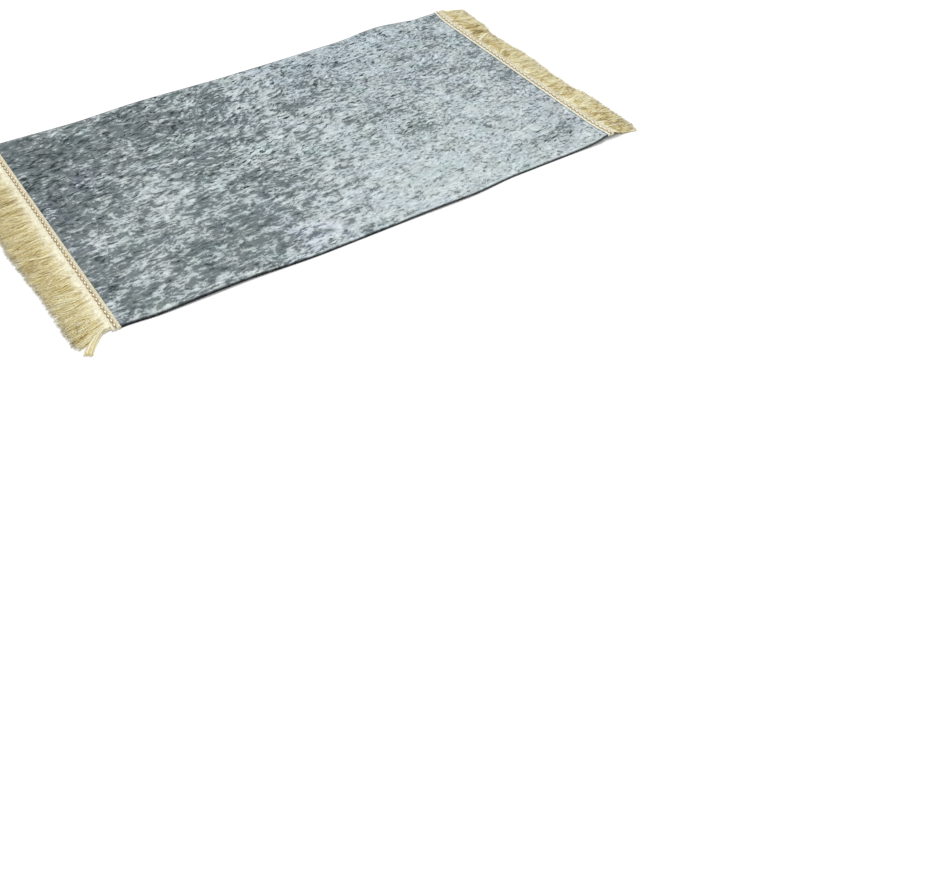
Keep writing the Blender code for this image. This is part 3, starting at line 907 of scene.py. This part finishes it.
def thread_material():
    """Silky pale-gold thread: paler at the root, its shade set strand by strand."""
    made = Shader("fringe_thread", 0.42, Specular_IOR_Level=0.5, Sheen_Weight=0.12, Sheen_Roughness=0.3)
    shade, along = made.value("shade"), made.value("along")
    body = made.mix(made.span(shade, 0.0, 0.22), rgb(148, 132, 80), rgb(196, 168, 92))
    body = made.mix(made.span(shade, 0.22, 0.5), body, rgb(234, 221, 164))
    body = made.mix(made.span(shade, 0.5, 1.0), body, rgb(252, 247, 213))
    root = made.mix(made.span(shade, 0.0, 1.0, smooth=False), rgb(180, 168, 126), rgb(255, 252, 232))
    # painted shade: the tips of darker strands turn grey-brown, as in the shadow between and under them
    tip_with_painted_shade = made.mix(made.span(shade, 0.25, 0.62), rgb(150, 141, 112), rgb(251, 246, 226))
    colour = made.mix(made.span(along, 0.0, 0.38), root, body)
    # the very roots: pale cream of their own, lifted further by painted light against the cord's shade
    first = made.mix(made.span(shade, 0.0, 0.55), rgb(234, 223, 184), rgb(255, 251, 226))
    colour = made.mix(made.span(along, 0.04, 0.15, 1.0, 0.0), colour, first)
    colour = made.mix(made.span(along, 0.86, 0.99, 0.0, 0.65), colour, tip_with_painted_shade)
    return made.finish(colour)


thread = thread_material()


def strands_piece(name, paths, width, height, shade, along):
    """A piece of many strands, with the shade and the place along it stored for each point."""
    count, steps = paths.shape[:2]
    way = paths[:, -1] - paths[:, 0]
    sideways = unit(np.stack((-way[:, 1], way[:, 0], np.zeros(count)), axis=-1))
    points, faces = tubes(paths, sideways[:, None], width, height, STRAND_SIDES)
    piece = mesh_piece(name, points, faces, [thread])
    shade = np.clip(np.broadcast_to(shade, (count, steps)), 0.01, 0.99)
    shade = np.repeat(shade[:, :, None], STRAND_SIDES, axis=2)
    along = np.broadcast_to(along[..., None], (count, steps, STRAND_SIDES))
    point_values(piece, "shade", shade.ravel())
    point_values(piece, "along", along.ravel())
    nudge = np.linspace(-0.004, 0.004, STRAND_SIDES)[None, None, :]
    bake_map(piece, np.stack(((shade + nudge).ravel(), along.ravel() * 0.98 + 0.01), axis=-1))
    return piece


def fringe_yarns(side, layer, chance):
    """One value for each yarn of a layer; its strands add their own part to it."""
    bundles, drawn, swing, bowed, humps, tint, lengths = LAYERS[layer][0]
    first = FRINGE_START[side]
    place = first + (1.0 - first) * (np.arange(bundles) + chance.uniform(size=bundles)) / bundles
    calm = 0.15 + 0.85 * ease(0.0, 0.05, np.minimum(place - first, 1.0 - place))

    tuft_chance = np.random.default_rng(6 + FRINGE_SEED[side])
    tuft = np.floor(place * TUFTS).astype(int)
    tuft_lean, tuft_bow, tuft_shade, tuft_pale = tuft_chance.normal(0.0, 1.0, (4, TUFTS + 1))[:, tuft]
    tuft_short = tuft_chance.uniform(0.0, TUFT_SHORT, TUFTS + 1)[tuft]

    lean = np.radians(eased(FRINGE_LIES[side], place))
    lean = lean + calm * np.radians(TUFT_LEAN * tuft_lean + swing * chance.normal(size=bundles))
    reach = eased(FRINGE_LIES[side], place, column=2) * chance.uniform(*lengths, bundles)
    reach = reach - tuft_short - np.abs(chance.normal(0.0, RAGGED, bundles))
    bow = calm * (TUFT_BOW * tuft_bow + bowed * chance.normal(size=bundles))
    draw = chance.uniform(*drawn, bundles)
    hump = chance.uniform(*humps, bundles)
    from_tuft, from_yarn = UNEVEN[side][:2]
    shade = 0.5 + tint + from_tuft * tuft_shade + from_yarn * chance.normal(size=bundles)
    return calm, tuft_pale, lean, reach, bow, draw, hump, shade, *end_line(side, place)


def fringe_layer(side, layer):
    """One layer of a fringe: strands from beside the tape to a ragged line of tips on the floor."""
    opened, apart, swing, root_x, root_z, floor_z = LAYERS[layer][1]
    chance = np.random.default_rng(10 * list(LAYERS).index(layer) + FRINGE_SEED[side])
    calm, tuft_pale, lean, reach, bow, draw, hump, shade, root_y, low = [
        np.repeat(value, opened)[:, None] for value in fringe_yarns(side, layer, chance)
    ]
    size = lean.shape
    s = np.linspace(0.0, 1.0, STRAND_STEPS)[None, :]
    turn = chance.uniform(0.0, 2.0 * math.pi, size)
    off = np.sqrt(chance.uniform(size=size))
    beside, above = off * np.cos(turn), off * np.sin(turn)
    short = chance.exponential(RAGGED, size)
    broken = chance.uniform(size=size) < BROKEN[0]
    short = short + broken * chance.uniform(0.0, BROKEN[1], size)
    end = REACH_FROM - root_x + reach - np.minimum(short, SHORTEST) + 0.0036
    x = root_x + end * s
    own_lean = lean + calm * np.radians(swing) * chance.normal(size=size)
    y = root_y + beside * apart * (1.0 - draw * ease(0.0, 0.5, s))
    y = y + end * np.tan(own_lean) * s ** LEAN_BEND
    y = y + (bow + calm * chance.normal(0.0, 0.0015, size)) * np.sin(math.pi * s)
    y = y + chance.normal(0.0, 0.0009, size) * np.sin(3.0 * math.pi * s + turn) * s
    start_z = low + root_z + above * 0.0003
    rest_z = floor_z + hump * np.sin(math.pi * s ** 0.8) + (above + 1.0) * (0.0006 - 0.0003 * s)
    rest_z = rest_z + 0.0004 * np.sin(2.5 * math.pi * s + 2.0 * turn) * np.sin(math.pi * s)
    fall = ease(0.05, 0.48, s)
    z = np.maximum(start_z * (1.0 - fall) + rest_z * fall, 0.00035)
    width = STRAND_WIDTH * chance.uniform(0.7, 1.3, size) * (1.0 - 0.65 * s ** 3)
    height = STRAND_HEIGHT * (1.0 - 0.4 * s ** 2)

    from_strand, from_place = UNEVEN[side][2:]
    uneven = 0.7 * ripple(x, y, 0.011, 90) + 0.7 * ripple(x, y, 0.026, 91)
    shade = shade + from_strand * chance.normal(size=size)
    shade = shade + from_place * uneven * np.minimum(1.0, 0.7 + 2.0 * s)
    shade = shade + patched(y / MM, s, FRINGE_TONES_AND_PAINTED_SHADE[side])
    sooner = ease(0.02, 0.2, s)
    along = s * (1.0 - sooner) + s ** PALE_RUN[side] * sooner
    along = np.clip(along - 0.045 * tuft_pale * np.exp(-(s / 0.3) ** 2), 0.0, 1.0)
    paths = np.stack((SIDES[side] * x, y, z), axis=-1)
    return strands_piece(f"fringe_{side}_{layer}", paths, width, height, shade, along)


for side_name in SIDES:
    for layer_name in LAYERS:
        fringe_layer(side_name, layer_name)
        if layer_name == "over":
            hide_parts(f"fringe_{side_name}")

# The swept tuft at the left front corner, in millimetres: its middle line, half width, height of its mound
SWEPT = (
    (-560, -331.5, 3.6, 2.8), (-570, -329, 3.4, 3.2), (-582.4, -332.5, 4.0, 3.4), (-593.6, -341.5, 5.0, 3.2),
    (-604.7, -352.5, 5.8, 2.6), (-614.4, -364, 6.8, 2.0), (-622.5, -376, 7.8, 1.2),
)
SWEPT_STRANDS = 120
SWEPT_STEPS = 19


def smoothed(paths, steps):
    """Paths through the same points, with more steps and no corners."""
    last = paths.shape[1] - 1
    fine = np.linspace(0.0, last, steps)
    low = np.clip(fine.astype(int), 0, last - 1)
    part = (fine - low)[None, :, None]
    before, after = paths[:, np.maximum(low - 1, 0)], paths[:, np.minimum(low + 2, last)]
    here, there = paths[:, low], paths[:, low + 1]
    bend_in, bend_out = (there - before) / 2.0, (after - here) / 2.0
    return ((2 * part ** 3 - 3 * part ** 2 + 1) * here + (part ** 3 - 2 * part ** 2 + part) * bend_in
            + (3 * part ** 2 - 2 * part ** 3) * there + (part ** 3 - part ** 2) * bend_out)


def make_swept_tuft():
    """The corner tuft: strands gathered at the root, swept round and over their neighbours."""
    chance = np.random.default_rng(41)
    table = np.array(SWEPT) * MM
    way, half, mound = table[:, :2], table[:, 2], table[:, 3]
    tangent = np.gradient(way, axis=0)
    normal = unit(np.stack((-tangent[:, 1], tangent[:, 0]), axis=-1))
    across = chance.uniform(-1.0, 1.0, SWEPT_STRANDS)
    wander = across[:, None] + chance.normal(0.0, 0.1, (SWEPT_STRANDS, len(way))).cumsum(axis=1) * 0.6
    paths = way[None] + normal[None] * (wander * half)[..., None]
    trim = chance.uniform(0.0, 0.9, SWEPT_STRANDS)[:, None] * 0.6
    paths[:, -1] = paths[:, -1] * (1.0 - trim) + paths[:, -2] * trim
    rise = np.sqrt(np.maximum(0.05, 1.0 - across ** 2)) * chance.uniform(0.1, 1.0, SWEPT_STRANDS)
    z = 0.001 + rise[:, None] * mound
    s = np.linspace(0.0, 1.0, SWEPT_STEPS)
    width = 0.00048 * chance.uniform(0.8, 1.2, SWEPT_STRANDS)[:, None] * (1.0 - 0.5 * s ** 3)
    shade = 0.66 + 0.2 * chance.normal(size=SWEPT_STRANDS)
    paths = smoothed(np.concatenate((paths, z[..., None]), axis=-1), SWEPT_STEPS)
    along = np.broadcast_to(0.35 * s, paths.shape[:2])
    return strands_piece("fringe_left_tuft", paths, width, width * 0.5, shade[:, None], along)


# Single loose threads, in millimetres: points along them, height over the floor, half width; then the shade
LOOSE = (
    (((564, 161), (577, 169), (591, 177), (605, 184.2)), 5.4, 1.25, 0.98),
    (((565, 164), (574, 171), (585, 179), (598.5, 184.2)), 5.4, 1.0, 0.98),
    (((-566, -243), (-579, -240), (-596, -243), (-611, -252)), 3.6, 0.45, 0.95),
    (((-568, -305), (-583, -296), (-598, -289), (-612, -288)), 3.6, 0.45, 0.9),
    (((-565, -120), (-580, -113), (-596, -112), (-610, -117)), 3.5, 0.45, 0.92),
)
LOOSE_STEPS = 14
LOOSE_ALONG = 0.1  # their colour is that of a strand near its root


def make_loose():
    """The few single threads that lie across the others."""
    lines, heights, halves, shades = [np.array(column) for column in zip(*LOOSE)]
    part = np.linspace(0.0, 1.0, LOOSE_STEPS)
    left = 1.0 - part
    weights = np.stack((left ** 3, 3.0 * part * left ** 2, 3.0 * part ** 2 * left, part ** 3), axis=-1)
    rise = heights[:, None] - 1.2 * part ** 2
    paths = np.concatenate((weights @ lines, rise[..., None]), axis=-1) * MM
    half = halves[:, None] * MM
    return strands_piece("fringe_loose_threads", paths, half, half * 0.6, shades[:, None],
                         np.full(paths.shape[:2], LOOSE_ALONG))


tuft_piece = make_swept_tuft()
loose_piece = make_loose()

# ---- floor and light


def make_floor():
    """A plain pale floor."""
    made = Shader("pale_floor", 0.85, Specular_IOR_Level=0.2)
    tint = made.noise(made.place(), 1.5, 2.0)
    material = made.finish(made.mix(tint, (0.9, 0.9, 0.9, 1.0), (0.92, 0.92, 0.92, 1.0)))
    half = 60.0
    mesh = bpy.data.meshes.new("floor")
    mesh.from_pydata([(-half, -half, 0), (half, -half, 0), (half, half, 0), (-half, half, 0)], [], [range(4)])
    mesh.materials.append(material)
    linked("floor", mesh)


def make_light():
    """An even, bright room with one wide soft light above and behind the rug."""
    world = bpy.data.worlds.new("room")
    bpy.context.scene.world = world
    world.use_nodes = True
    room = world.node_tree.nodes["Background"]
    room.inputs["Color"].default_value = (1.0, 1.0, 1.0, 1.0)
    room.inputs["Strength"].default_value = 0.78
    sun = bpy.data.lights.new("key", "SUN")
    sun.energy = 1.65
    sun.angle = math.radians(20.0)
    light = linked("key", sun)
    light.rotation_mode = "QUATERNION"
    light.rotation_quaternion = Vector((0.45, 0.9, 1.35)).to_track_quat("Z", "Y")
    bpy.context.scene.view_settings.view_transform = "Standard"


make_floor()
make_light()
